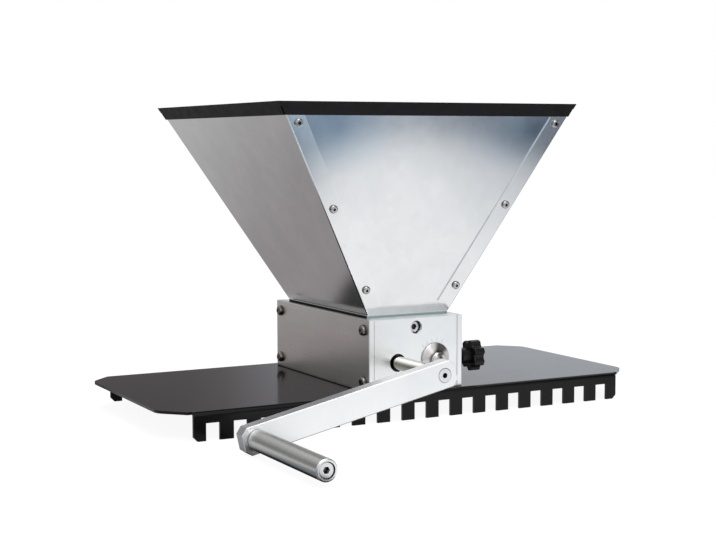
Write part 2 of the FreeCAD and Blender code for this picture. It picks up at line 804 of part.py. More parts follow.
def chute_section(side, tip, top_z):
    """Outline of the inclined lower end of a side sheet."""
    skirt_x = side * neck_half_width
    inner_x = skirt_x - side * sheet_thickness
    return [Vector(skirt_x, 0, top_z), Vector(tip.x, 0, tip.z), Vector(tip.x - side * sheet_thickness, 0, tip.z),
            Vector(inner_x, 0, top_z + sheet_thickness / 2)]


def make_side_panel(side):
    """Left or right sheet: sloping wall, laps, skirt and the chute that leads to the rollers."""
    inside = -sheet_thickness
    wall = tapered_block(fold_height, sheet_top, [side_wall(side, inside), side_wall(side, 0.0)],
                         [end_wall(FRONT, 0.0), end_wall(REAR, 0.0)])
    skirt_x = sorted((side * neck_half_width, side * (neck_half_width - sheet_thickness)))
    skirt = block(skirt_x, (-neck_half_length, neck_half_length), (body_top, fold_height))
    throat_half = block_inner - sheet_thickness - seat_gap
    chute_top = body_top - chute_drop
    throat = block(skirt_x, (-throat_half, throat_half), (chute_top, body_top))
    axis_x = drive_axis_x if side < 0 else eccentric_x + eccentric_throw
    reach = roller_diameter / 2 + chute_clearance
    tip = Vector(axis_x + side * reach * math.cos(math.radians(chute_angle)), 0,
                 axis_height + reach * math.sin(math.radians(chute_angle)))
    section = [point - AXIS_Y * throat_half for point in chute_section(side, tip, chute_top)]
    chute = extruded(section, Vector(0, 2 * throat_half, 0))
    panel = joined([wall, skirt, throat, chute, lap(side, FRONT), lap(side, REAR)])
    return panel.cut(hopper_screw_holes(FRONT) + hopper_screw_holes(REAR))


def hopper_screw_seats(end):
    """Seat and outward direction of each screw through the laps of one end."""
    level_width = lap_width * lap_slope()
    low = fold_height + hopper_screw_foot_margin + lap_foot_rise / 2
    high = trim_low - hopper_screw_rim_margin
    lean = (abs(end_wall(end, 0.0)(high)) - abs(end_wall(end, 0.0)(low))) / (high - low)
    outward = Vector(0, end, -lean).normalize()
    seats = []
    for side in (-1, 1):
        for row in range(hopper_screw_rows):
            z = low + (high - low) * row / (hopper_screw_rows - 1)
            x = side_wall(side, 0.0)(z) - side * level_width / 2
            seats.append((Vector(x, end_wall(end, sheet_thickness)(z), z), outward))
    return seats


def hopper_screw_holes(end):
    """Cutters for the screws through the laps of one end."""
    cutters = []
    for seat, outward in hopper_screw_seats(end):
        cutters.append(rod(seat + outward * sheet_thickness, seat - outward * (3 * sheet_thickness),
                           m3_diameter / 2 + screw_gap))
    return cutters


def make_hopper_screws():
    """Screws that hold the laps to the front and rear sheets."""
    screws = []
    for end in (FRONT, REAR):
        for seat, outward in hopper_screw_seats(end):
            screws.append(domed_screw(seat, outward, m3_diameter, hopper_screw_length, m3_head_diameter,
                                      m3_head_height, m3_socket_width))
    return screws


def make_hopper_nuts():
    """Nuts inside the hopper on those screws."""
    nuts = []
    for end in (FRONT, REAR):
        for seat, outward in hopper_screw_seats(end):
            nuts.append(nut(seat - outward * (2 * sheet_thickness), -outward, m3_diameter, m3_nut_width,
                            m3_nut_height))
    return nuts


def make_mount_screws():
    """Screws through the end blocks that hold the hopper down."""
    screws = []
    for end in (FRONT, REAR):
        seat = mount_point(end, block_outer - mount_counterbore_depth)
        length = end_block_thickness - mount_counterbore_depth + sheet_thickness + m5_nut_height
        screws.append(headed_screw(seat, AXIS_Y * end, m5_diameter, length, m5_head_diameter, m5_head_height,
                                   m5_socket_width, edge_break))
    return screws


def make_mount_nuts():
    """Nuts on the tabs inside the throat."""
    nuts = []
    for end in (FRONT, REAR):
        seat = mount_point(end, block_inner - sheet_thickness)
        nuts.append(nut(seat, -AXIS_Y * end, m5_diameter, m5_nut_width, m5_nut_height))
    return nuts


def make_trim_slits():
    """Cutters that part the rim strips at the corners, where the sheet shows."""
    offset = trim_slit_width / math.sqrt(2)
    slits = []
    for side in (-1, 1):
        for end in (FRONT, REAR):
            outward = Vector(side, end, 0) * (2 * trim_wall)
            rings = []
            for z in (trim_low - 1, trim_low + trim_slit_height):
                corner = Vector(side_wall(side, 0.0)(z), end_wall(end, 0.0)(z), z)
                near = corner - AXIS_X * (side * offset)
                far = corner - AXIS_Y * (end * offset)
                rings.append([near, near + outward, far + outward, far])
            slits.append(solid_between(rings[0], rings[1]))
    return slits


def make_end_trim(end, cutters):
    """Rubber strip over the front or rear rim, with its slot for the sheets."""
    inward = -sheet_thickness - trim_wall
    bar = tapered_block(trim_low, trim_top, [side_wall(-1, trim_wall), side_wall(1, trim_wall)],
                        [end_wall(end, trim_wall), end_wall(end, inward)])
    return bar.cut(cutters)


def make_side_trim(side, cutters):
    """Rubber strip over the left or right rim, between the front and rear strips."""
    inward = -sheet_thickness - trim_wall
    short = inward - trim_corner_gap
    bar = tapered_block(trim_low, trim_top, [side_wall(side, trim_wall), side_wall(side, inward)],
                        [end_wall(FRONT, short), end_wall(REAR, short)])
    return bar.cut(cutters)


def build_parts():
    """Every named piece of the mill, in body coordinates."""
    parts = {}
    parts["base_plate"] = make_base_plate()
    parts["base_screws"] = make_base_screws()
    parts["front_end_block"] = make_front_block(True)
    parts["rear_end_block"] = flipped(make_front_block(False))
    parts["left_side_plate"] = make_side_plate(-1)
    parts["right_side_plate"] = make_side_plate(1)
    parts["side_plate_screws"] = make_side_plate_screws()
    parts["front_drive_bush"] = make_drive_bush(FRONT)
    parts["rear_drive_bush"] = make_drive_bush(REAR)
    parts["drive_thrust_washers"] = make_drive_thrust_washers()
    parts["drive_shaft"] = make_drive_shaft()
    parts["drive_roller"] = make_roller(drive_axis_x, drive_shaft_diameter)
    parts["idle_shaft"] = make_idle_shaft()
    parts["idle_roller"] = make_roller(idle_axis_x, idle_shaft_diameter)
    parts["idle_thrust_washers"] = make_idle_thrust_washers()
    parts["front_eccentric"] = make_front_eccentric()
    parts["rear_eccentric"] = flipped(make_front_eccentric())
    parts["front_idle_bush"] = make_front_idle_bush()
    parts["rear_idle_bush"] = flipped(make_front_idle_bush())
    parts["front_lock_stud"] = make_front_lock_stud()
    parts["rear_lock_stud"] = flipped(make_front_lock_stud())
    parts["front_lock_knob"] = make_front_lock_knob()
    parts["rear_lock_knob"] = flipped(make_front_lock_knob())
    parts["crank_arm"] = make_crank_arm()
    parts["crank_screw"] = make_crank_screw()
    parts["grip_sleeve"] = make_grip_sleeve()
    parts["grip_bolt"] = make_grip_bolt()
    parts["grip_washer"] = make_grip_washer()
    parts["hopper_front_panel"] = make_end_panel(FRONT)
    parts["hopper_rear_panel"] = make_end_panel(REAR)
    parts["hopper_left_panel"] = make_side_panel(-1)
    parts["hopper_right_panel"] = make_side_panel(1)
    sheets = [parts["hopper_" + name + "_panel"] for name in ("front", "rear", "left", "right")]
    trim_cutters = sheets + make_trim_slits()
    parts["rim_trim_front"] = make_end_trim(FRONT, trim_cutters)
    parts["rim_trim_rear"] = make_end_trim(REAR, trim_cutters)
    parts["rim_trim_left"] = make_side_trim(-1, trim_cutters)
    parts["rim_trim_right"] = make_side_trim(1, trim_cutters)
    parts["hopper_screws"] = make_hopper_screws()
    parts["hopper_nuts"] = make_hopper_nuts()
    parts["hopper_mount_screws"] = make_mount_screws()
    parts["hopper_mount_nuts"] = make_mount_nuts()
    return parts


def body_shift():
    """Y of the body's middle once the whole mill is centred on the origin."""
    rear_most = end_wall(REAR, trim_wall)(trim_top)
    return (grip_end - rear_most) / 2


def export_parts():
    """Write one STEP file for each named piece."""
    os.makedirs("parts", exist_ok=True)
    for name, shape in build_parts().items():
        if isinstance(shape, list):
            shape = Part.makeCompound(shape)
        placed = shape.copy()
        placed.translate(Vector(0, body_shift(), 0))
        placed.exportStep(os.path.join("parts", name + ".step"))


export_parts()
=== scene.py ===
import json
import math

import bpy
import numpy as np
from mathutils import Matrix, Vector


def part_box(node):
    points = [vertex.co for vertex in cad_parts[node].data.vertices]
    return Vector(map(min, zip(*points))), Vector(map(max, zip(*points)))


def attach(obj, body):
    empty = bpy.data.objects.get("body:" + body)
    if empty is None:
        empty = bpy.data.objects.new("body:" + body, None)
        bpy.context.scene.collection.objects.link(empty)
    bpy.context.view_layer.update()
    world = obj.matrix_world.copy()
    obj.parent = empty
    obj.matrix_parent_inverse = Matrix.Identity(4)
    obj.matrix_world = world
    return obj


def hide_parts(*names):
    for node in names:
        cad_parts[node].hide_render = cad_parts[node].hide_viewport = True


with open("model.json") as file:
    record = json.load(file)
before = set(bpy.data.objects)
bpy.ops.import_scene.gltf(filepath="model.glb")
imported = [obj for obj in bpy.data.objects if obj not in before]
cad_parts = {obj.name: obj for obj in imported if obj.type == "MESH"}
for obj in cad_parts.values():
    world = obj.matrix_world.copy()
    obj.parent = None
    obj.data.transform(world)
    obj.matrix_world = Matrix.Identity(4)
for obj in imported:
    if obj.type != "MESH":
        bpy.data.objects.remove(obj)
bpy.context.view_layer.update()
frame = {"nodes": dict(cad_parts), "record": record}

MM = 0.001


# Camera, solved from the photograph's straight edges

def place_camera():
    """Camera turned about a look-at point, then rolled a little about the line of view."""
    azimuth, elevation, roll = (math.radians(angle) for angle in (-27.738, 5.034, -0.173))
    aim = Vector((-6.125, 58.624, 100.963)) * MM
    distance = 1111.35 * MM
    focal_pixels, picture_width, sensor_width = 1460.2, 716, 36.0
    back = Vector((math.sin(azimuth) * math.cos(elevation),
                   -math.cos(azimuth) * math.cos(elevation), math.sin(elevation)))
    right = (-back).cross(Vector((0, 0, 1))).normalized()
    up = right.cross(-back)
    rolled_right = right * math.cos(roll) + up * math.sin(roll)
    rolled_up = up * math.cos(roll) - right * math.sin(roll)
    data = bpy.data.cameras.new("camera")
    data.sensor_fit = "HORIZONTAL"
    data.sensor_width = sensor_width
    data.lens = focal_pixels / picture_width * sensor_width
    data.clip_start = 0.01
    data.clip_end = 50.0
    camera = bpy.data.objects.new("camera", data)
    bpy.context.scene.collection.objects.link(camera)
    axes = Matrix((rolled_right, rolled_up, back)).transposed()
    camera.matrix_world = Matrix.Translation(aim + back * distance) @ axes.to_4x4()
    bpy.context.scene.camera = camera


place_camera()
bpy.context.scene.view_settings.view_transform = "Standard"


# Colours and nodes

def tint(code):
    """Linear colour with full alpha from an sRGB hex code."""
    levels = [int(code[start:start + 2], 16) / 255 for start in (1, 3, 5)]
    return [level / 12.92 if level <= 0.04045 else ((level + 0.055) / 1.055) ** 2.4
            for level in levels] + [1.0]


def empty_tree(owner):
    """Node tree of a new material or world, with no nodes."""
    owner.use_nodes = True
    owner.node_tree.nodes.clear()
    return owner.node_tree


def add(tree, kind, settings=(), links=()):
    """New node.

    A setting goes to the property of that name, or to the input of that name or number.
    """
    node = tree.nodes.new(kind)
    for key, value in dict(settings).items():
        if isinstance(key, str) and hasattr(node, key):
            setattr(node, key, value)
        else:
            node.inputs[key].default_value = value
    for key, socket in dict(links).items():
        tree.links.new(socket, node.inputs[key])
    return node


def start_finish(name, base, metallic, roughness):
    """Material with a bare Principled shader.

    Returns the material, its tree, the shader and the Object coordinates.
    """
    material = bpy.data.materials.new(name)
    tree = empty_tree(material)
    shader = add(tree, "ShaderNodeBsdfPrincipled",
                 {"Base Color": tint(base), "Metallic": metallic, "Roughness": roughness})
    add(tree, "ShaderNodeOutputMaterial", links={"Surface": shader.outputs["BSDF"]})
    return material, tree, shader, add(tree, "ShaderNodeTexCoord").outputs["Object"]


def end_finish(tree, shader, colour, roughness, height, depth_mm):
    """Colour, roughness and a bump of the given depth, brought to the shader."""
    bump = add(tree, "ShaderNodeBump", {"Strength": 1.0, "Distance": depth_mm * MM},
               {"Height": height}).outputs["Normal"]
    for name, socket in (("Base Color", colour), ("Roughness", roughness), ("Normal", bump)):
        tree.links.new(socket, shader.inputs[name])


def grain(tree, place, size_mm, detail=2.0):
    """Noise whose blobs have the given size along X, Y and Z in millimetres."""
    spread = [1.0 / (size * MM) for size in size_mm]
    stretched = add(tree, "ShaderNodeMapping", {"Scale": spread}, {"Vector": place})
    return add(tree, "ShaderNodeTexNoise", {"Scale": 1.0, "Detail": detail, "Roughness": 0.55},
               {"Vector": stretched.outputs["Vector"]}).outputs["Fac"]


def ranged(tree, value, low, high, start=0.3, stop=0.7):
    """Value brought from start and stop, which fit a noise, to low and high, and kept between."""
    return add(tree, "ShaderNodeMapRange",
               {"From Min": start, "From Max": stop, "To Min": low, "To Max": high},
               {"Value": value}).outputs["Result"]


def blended(tree, share, low, high):
    """Colour between two colours, which are hex codes or sockets, by a share from 0 to 1."""
    settings = {"data_type": "RGBA"}
    links = {0: share}
    for slot, colour in ((6, low), (7, high)):
        if isinstance(colour, str):
            settings[slot] = tint(colour)
        else:
            links[slot] = colour
    return add(tree, "ShaderNodeMix", settings, links).outputs[2]


def edge_share(tree, radius_mm):
    """Share from 0 on flats to 1 on edges.

    It tells how far a normal that is rounded over the radius leaves the true one.
    """
    rounded = add(tree, "ShaderNodeBevel", {"samples": 6, "Radius": radius_mm * MM})
    flat = add(tree, "ShaderNodeNewGeometry").outputs["Normal"]
    match = add(tree, "ShaderNodeVectorMath", {"operation": "DOT_PRODUCT"},
                {0: rounded.outputs["Normal"], 1: flat}).outputs["Value"]
    return ranged(tree, match, 1.0, 0.0, 0.86, 0.995)


def end_share(tree, start=0.5, stop=0.9):
    """Share from 0 on faces along the mill to 1 on faces square to its Y axis."""
    facing = add(tree, "ShaderNodeSeparateXYZ",
                 links={"Vector": add(tree, "ShaderNodeTexCoord").outputs["Normal"]})
    size = add(tree, "ShaderNodeMath", {"operation": "ABSOLUTE"}, {0: facing.outputs["Y"]})
    return ranged(tree, size.outputs["Value"], 0.0, 1.0, start, stop)


def shaded_in_hollows(tree, colour, shade_colour, reach_mm, start, stop):
    """Colour that turns to a painted shade where other faces close in, as in sockets and corners.

    A place keeps its colour from the stop on, and is all shade up to the start, both as the share
    of open directions round it within the reach.
    """
    open_share = add(tree, "ShaderNodeAmbientOcclusion",
                     {"samples": 8, "Distance": reach_mm * MM}).outputs["AO"]
    return blended(tree, ranged(tree, open_share, 0.0, 1.0, start, stop), shade_colour, colour)


# Finishes

def galvanised_sheet(name, painted_corner_tone):
    """Hot dip galvanised steel sheet, rolled smooth: soft mirror, cloudy crystals, fine lines.

    In front and behind, the upper corners turn to the corner tone, a painted reflection. Painted
    shade lies dark on the lower part of the folds, and along the seam over the body, where it is
    black at the sides and a lighter blue-grey in front and behind.
    """
    material, tree, shader, place = start_finish(name, "#dfe1e3", 1.0, 0.17)
    # crystals of 9 mm, of which the rolling leaves only a faint change of grey
    cells = add(tree, "ShaderNodeTexVoronoi", {"Scale": 1.0 / (9.0 * MM), "Randomness": 1.0},
                {"Vector": place})
    crystal = add(tree, "ShaderNodeSeparateColor",
                  links={"Color": cells.outputs["Color"]}).outputs["Red"]
    cloud = grain(tree, place, (34.0, 34.0, 34.0), 3.0)
    # rolling lines of 0.2 mm are drawn 0.9 mm wide, or they would not show
    lines = grain(tree, place, (0.9, 0.9, 46.0))
    grey = blended(tree, ranged(tree, cloud, 0.0, 1.0), "#dcdee0", "#e6e7e8")
    spotted = blended(tree, ranged(tree, crystal, 0.0, 0.14, 0.0, 1.0), grey, "#c8cbd0")
    # pale edges: wear and a painted highlight
    edged = blended(tree, edge_share(tree, 0.4), spotted, "#f2f3f4")

    facing = end_share(tree)
    axes = add(tree, "ShaderNodeSeparateXYZ", links={"Vector": place})
    height = axes.outputs["Z"]
    aside = add(tree, "ShaderNodeMath", {"operation": "ABSOLUTE"},
                {0: axes.outputs["X"]}).outputs["Value"]
    # painted reflection: the upper corners in front and behind turn to the corner tone
    corner_reflection = facing
    for share in (ranged(tree, height, 0.0, 1.0, 175 * MM, 205 * MM),
                  ranged(tree, aside, 0.0, 1.0, 20 * MM, 70 * MM)):
        corner_reflection = add(tree, "ShaderNodeMath", {"operation": "MULTIPLY"},
                     {0: corner_reflection, 1: share}).outputs["Value"]
    corner_reflected = blended(tree, corner_reflection, edged, painted_corner_tone)

    # painted shade along the seam over the body: black at the sides, blue-grey in front and behind
    seam_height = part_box("left_side_plate")[1].z
    seam = ranged(tree, height, 1.0, 0.0, seam_height + 1.3 * MM, seam_height + 1.9 * MM)
    seam_shaded = blended(tree, seam, corner_reflected, blended(tree, facing, "#0d0c0c", "#93a3a5"))
    # painted shade on the lower part of the folds
    fold = add(tree, "ShaderNodeMath", {"operation": "SUBTRACT"},
               {0: end_share(tree, 0.05, 0.15), 1: end_share(tree, 0.82, 0.92)})
    lower_fold_shade = add(tree, "ShaderNodeMath", {"operation": "MULTIPLY"},
                     {0: fold.outputs["Value"],
                      1: ranged(tree, height, 1.0, 0.0, 125 * MM, 175 * MM)}).outputs["Value"]
    colour = blended(tree, lower_fold_shade, seam_shaded, "#0d0c0c")

    wave = add(tree, "ShaderNodeMath", {"operation": "MULTIPLY_ADD", 1: 0.35},
               {0: lines, 2: cloud}).outputs["Value"]
    end_finish(tree, shader, colour, ranged(tree, wave, 0.14, 0.2, 0.4, 0.95), lines, 0.003)
    return material


def brushed_stainless():
    """Stainless steel plate, belt ground along its length: long fine scratches, grey satin."""
    material, tree, shader, place = start_finish("brushed_stainless_plate", "#d6d3d1", 1.0, 0.3)
    # scratches of 0.1 mm are drawn 0.5 mm wide, or they would not show
    scratch = grain(tree, place, (0.5, 60.0, 0.5), 3.0)
    smear = grain(tree, place, (40.0, 55.0, 22.0))
    grey = blended(tree, ranged(tree, scratch, 0.0, 1.0), "#cecbc9", "#dcd9d7")
    # the plate's ends are milled flush with the end blocks and rougher; their white colour, as
    # white as the blocks look, is a painted highlight
    end = end_share(tree)
    metal = blended(tree, end, grey, "#f4f6f7")
    # pale edges: wear and a painted highlight
    edged = blended(tree, edge_share(tree, 0.5), metal, "#efeeec")
    # painted shade in sockets, corners and recesses
    colour = shaded_in_hollows(tree, edged, "#2b2928", 3.0, 0.45, 0.8)
    both = add(tree, "ShaderNodeMath", {"operation": "MULTIPLY_ADD", 1: 0.6},
               {0: scratch, 2: smear}).outputs["Value"]
    rough = add(tree, "ShaderNodeMath", {"operation": "MAXIMUM"},
                {0: ranged(tree, both, 0.24, 0.38, 0.5, 1.1),
                 1: ranged(tree, end, 0.0, 0.36, 0.0, 1.0)}).outputs["Value"]
    end_finish(tree, shader, colour, rough, scratch, 0.006)
    return material


def milled_aluminium():
    """Aluminium block, face milled and clear anodised: nearly white, faint arcs of the cutter."""
    material, tree, shader, place = start_finish("milled_anodised_aluminium", "#f0f3f4", 1.0,
                                                 0.36)
    # the arcs' middle lies 0.11 m to the left of the frame's origin and 0.03 m under it
    from_cutter = add(tree, "ShaderNodeMapping", {"Location": (0.11, 0.0, 0.03)},
                      {"Vector": place})
    # cutter marks of 0.3 mm are drawn 0.9 mm apart, or they would not show: a wave of scale 1
    # has its crests 0.314 m apart
    marks = add(tree, "ShaderNodeTexWave",
                {"wave_type": "RINGS", "rings_direction": "SPHERICAL",
                 "Scale": 0.314 / (0.9 * MM), "Distortion": 0.6},
                {"Vector": from_cutter.outputs["Vector"]}).outputs["Fac"]
    cloud = grain(tree, place, (14.0, 14.0, 14.0), 3.0)
    white = blended(tree, ranged(tree, cloud, 0.0, 1.0), "#f1f4f5", "#f9fbfb")
    # pale edges: wear and a painted highlight
    edged = blended(tree, edge_share(tree, 0.4), white, "#fbfcfc")
    # painted shade in sockets, corners and recesses
    end_finish(tree, shader, shaded_in_hollows(tree, edged, "#3d3a38", 4.0, 0.2, 0.6),
               ranged(tree, cloud, 0.32, 0.42), marks, 0.002)
    return material


def satin_aluminium():
    """Aluminium bar, bead blasted and anodised: faces nearly white, sides greyer near the grip as
    painted reflection.

    Painted shade darkens the rounding of the lower edges, where the normal's upward share lies
    between about -0.9 and -0.3.
    """
    material, tree, shader, place = start_finish("blasted_anodised_aluminium", "#f4f5f6", 1.0,
                                                 0.4)
    # blasting pits of 0.1 mm are drawn 0.7 mm wide, or they would not show
    pits = grain(tree, place, (0.7, 0.7, 0.7))
    cloud = grain(tree, place, (26.0, 26.0, 26.0))
    white = blended(tree, ranged(tree, cloud, 0.0, 1.0), "#f4f6f7", "#fbfcfc")
    along = add(tree, "ShaderNodeSeparateXYZ", links={"Vector": place}).outputs["X"]
    # painted reflection: the sides greyer near the grip
    side = blended(tree, ranged(tree, along, 0.0, 1.0, -92 * MM, -68 * MM), "#bebec1", "#fbfbfb")
    metal = blended(tree, end_share(tree), side, white)
    # painted shade on the rounding of the lower edges
    rounded = add(tree, "ShaderNodeBevel", {"samples": 6, "Radius": 0.7 * MM}).outputs["Normal"]
    own = add(tree, "ShaderNodeVectorTransform",
              {"vector_type": "NORMAL", "convert_from": "WORLD", "convert_to": "OBJECT"},
              {"Vector": rounded})
    up = add(tree, "ShaderNodeSeparateXYZ", links={"Vector": own.outputs["Vector"]}).outputs["Z"]
    lower_edge = add(tree, "ShaderNodeMath", {"operation": "SUBTRACT"},
                     {0: ranged(tree, up, 1.0, 0.0, -0.45, -0.15),
                      1: ranged(tree, up, 1.0, 0.0, -0.94, -0.87)}).outputs["Value"]
    lower_edge_shaded = blended(tree, lower_edge, metal, "#59595b")
    # painted shade in sockets, corners and recesses
    end_finish(tree, shader, shaded_in_hollows(tree, lower_edge_shaded, "#3d3a38", 2.0, 0.2, 0.6),
               ranged(tree, cloud, 0.38, 0.47), pits, 0.004)
    return material


def turned_bar(name, base, light, under_shade, under_shade_level, rough, ring_mm, depth_mm):
    """Bar turned about the Y axis: fine rings round it, a satin sheen, and painted shade under it.

    The painted shade covers what faces up by less than its level, the upward share of the normal.
    """
    material, tree, shader, place = start_finish(name, base, 1.0, rough[0])
    rings = grain(tree, place, (30.0, ring_mm, 30.0))
    cloud = grain(tree, place, (12.0, 12.0, 12.0))
    metal = blended(tree, ranged(tree, rings, 0.0, 1.0), base, light)
    # pale edges: wear and a painted highlight
    edged = blended(tree, edge_share(tree, 0.3), metal, "#f0f0ee")
    up = add(tree, "ShaderNodeSeparateXYZ",
             links={"Vector": add(tree, "ShaderNodeTexCoord").outputs["Normal"]}).outputs["Z"]
    # painted shade on what faces up by less than the level
    under = ranged(tree, up, 1.0, 0.0, under_shade_level - 0.12, under_shade_level + 0.12)
    colour = blended(tree, end_share(tree), blended(tree, under, edged, under_shade), "#eef0f0")
    both = add(tree, "ShaderNodeMath", {"operation": "MULTIPLY_ADD", 1: 0.5},
               {0: rings, 2: cloud}).outputs["Value"]
    end_finish(tree, shader, colour, ranged(tree, both, rough[0], rough[1], 0.45, 1.05), rings,
               depth_mm)
    return material


def stainless_fastener(name, base, light):
    """Cold headed stainless screws and nuts, tumbled: small dents, painted shade in sockets and
    round the heads, and the given base, which in darker copies is painted shade.
    """
    material, tree, shader, place = start_finish(name, base, 1.0, 0.18)
    # tumbling dents are about 0.6 mm wide
    dents = grain(tree, place, (0.6, 0.6, 0.6))
    metal = blended(tree, ranged(tree, dents, 0.0, 1.0), base, light)
    # painted shade in sockets and round the heads
    end_finish(tree, shader, shaded_in_hollows(tree, metal, "#0b0a0a", 3.0, 0.4, 0.88),
               ranged(tree, dents, 0.14, 0.23), dents, 0.01)
    return material


def hardened_roller():
    """Case hardened steel with cut flutes: dark grey, dull, brighter on the crests, which are
    rubbed and carry a painted highlight.
    """
    material, tree, shader, place = start_finish("hardened_fluted_steel", "#77767a", 1.0, 0.4)
    scale = grain(tree, place, (6.0, 6.0, 6.0), 4.0)
    dark = blended(tree, ranged(tree, scale, 0.0, 1.0), "#67666a", "#85848a")
    # pale crests: wear and a painted highlight
    end_finish(tree, shader, blended(tree, edge_share(tree, 0.3), dark, "#b4b3b5"),
               ranged(tree, scale, 0.34, 0.5), scale, 0.01)
    return material


def sintered(name, dark, base, light, rough):
    """Pressed and sintered metal, full of oil, with open pores, which are its roughest places."""
    material, tree, shader, place = start_finish(name, base, 1.0, sum(rough) / 2)
    # pores of 0.1 mm are drawn 0.4 mm wide, or they would not show
    pores = grain(tree, place, (0.4, 0.4, 0.4))
    end_finish(tree, shader, blended(tree, ranged(tree, pores, 0.0, 1.0), dark, light),
               ranged(tree, pores, rough[0], rough[1]), pores, 0.02)
    return material


def faced_steel():
    """Steel turned in a lathe: rings round the setter's middle draw its highlights into wedges.

    Two dark wedges, up to the right and down to the left, are painted into the colour as well, as
    painted reflection. They lie where the size of (direction from the middle . slant) nears 1.
    """
    flange_radius = 11.25 * MM
    slant = (0.5, 0.0, 0.866)
    low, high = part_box("front_eccentric")
    middle = Vector((low.x + flange_radius, 0.0, high.z - flange_radius))
    material, tree, shader, place = start_finish("lathe_faced_steel", "#e2e0de", 1.0, 0.3)
    shader.inputs["Anisotropic"].default_value = 1.0
    outward = add(tree, "ShaderNodeVectorMath", {"operation": "SUBTRACT", 1: middle},
                  {0: place}).outputs["Vector"]
    flat = add(tree, "ShaderNodeVectorMath", {"operation": "MULTIPLY", 1: (1.0, 0.0, 1.0)},
               {0: outward}).outputs["Vector"]
    ray = add(tree, "ShaderNodeVectorMath", {"operation": "NORMALIZE"},
              {0: flat}).outputs["Vector"]
    tree.links.new(ray, shader.inputs["Tangent"])
    # turning rings of 0.1 mm are drawn 0.5 mm wide, or they would not show
    reach = add(tree, "ShaderNodeVectorMath", {"operation": "LENGTH"}, {0: flat}).outputs["Value"]
    rings = add(tree, "ShaderNodeTexNoise",
                {"noise_dimensions": "1D", "Scale": 1.0 / (0.5 * MM), "Detail": 2.0},
                {"W": reach}).outputs["Fac"]
    metal = blended(tree, ranged(tree, rings, 0.0, 1.0), "#dad8d6", "#ebe9e8")
    lean = add(tree, "ShaderNodeVectorMath", {"operation": "DOT_PRODUCT", 1: slant},
               {0: ray}).outputs["Value"]
    size = add(tree, "ShaderNodeMath", {"operation": "ABSOLUTE"}, {0: lean}).outputs["Value"]
    # painted reflection: two dark wedges
    painted_wedges = blended(tree, ranged(tree, size, 0.0, 0.9, 0.8, 0.95), metal, "#4f4846")
    # pale edges: wear and a painted highlight
    edged = blended(tree, edge_share(tree, 0.3), painted_wedges, "#f0efee")
    # painted shade in sockets, corners and recesses
    tree.links.new(shaded_in_hollows(tree, edged, "#0f0d0c", 3.0, 0.35, 0.85), shader.inputs["Base Color"])
    tree.links.new(ranged(tree, rings, 0.36, 0.44), shader.inputs["Roughness"])
    return material


def coated_steel():
    """Steel sheet with a black powder coat: half gloss, faint orange peel, edges paler from wear
    and a painted highlight.
    """
    material, tree, shader, place = start_finish("black_powder_coated_steel", "#0f0e0f", 0.0,
                                                 0.12)
    shader.inputs["IOR"].default_value = 1.5
    shader.inputs["Specular IOR Level"].default_value = 0.18
    # orange peel of 1.6 mm, and flow of the coat over some 30 mm
    peel = grain(tree, place, (1.6, 1.6, 1.6))
    flow = grain(tree, place, (30.0, 30.0, 30.0))
    black = blended(tree, ranged(tree, flow, 0.0, 1.0), "#0d0c0d", "#121112")
    # pale edges: wear and a painted highlight
    end_finish(tree, shader, blended(tree, edge_share(tree, 0.6), black, "#1d1c1e"),
               ranged(tree, flow, 0.1, 0.15), peel, 0.003)
    return material


def rubber_trim():
    """Extruded black rubber: dull, with fine drag lines and a trace of dust."""
    material, tree, shader, place = start_finish("extruded_black_rubber", "#0d0c0e", 0.0, 0.55)
    shader.inputs["Specular IOR Level"].default_value = 0.18
    dust = grain(tree, place, (9.0, 9.0, 5.0), 4.0)
    # extrusion lines of 0.2 mm are drawn 0.6 mm wide, or they would not show
    drag = grain(tree, place, (25.0, 25.0, 0.6))
    end_finish(tree, shader, blended(tree, ranged(tree, dust, 0.0, 1.0), "#0b0a0c", "#151416"),
               ranged(tree, dust, 0.48, 0.62), drag, 0.02)
    return material


def knob_plastic():
    """Moulded black nylon with glass fibre: half gloss, with a fine spark eroded grain."""
    material, tree, shader, place = start_finish("moulded_black_nylon", "#0a0a0c", 0.0, 0.3)
    shader.inputs["Specular IOR Level"].default_value = 0.25
    # the mould's grain of 0.2 mm is drawn 0.5 mm wide, or it would not show
    pitted = grain(tree, place, (0.5, 0.5, 0.5))
    flow = grain(tree, place, (5.0, 5.0, 5.0))
    end_finish(tree, shader, blended(tree, ranged(tree, flow, 0.0, 1.0), "#08080a", "#0f0f11"),
               ranged(tree, flow, 0.27, 0.38), pitted, 0.015)
    return material


def engraved_ink():
    """Laser marking on bare metal: a dull grey oxide, a little uneven along the stroke."""
    material, tree, shader, place = start_finish("laser_oxide_marking", "#a2a6a9", 0.0, 0.6)
    burnt = grain(tree, place, (0.4, 0.4, 0.4))
    tree.links.new(blended(tree, ranged(tree, burnt, 0.0, 1.0), "#989c9f", "#b0b3b5"),
                   shader.inputs["Base Color"])
    return material


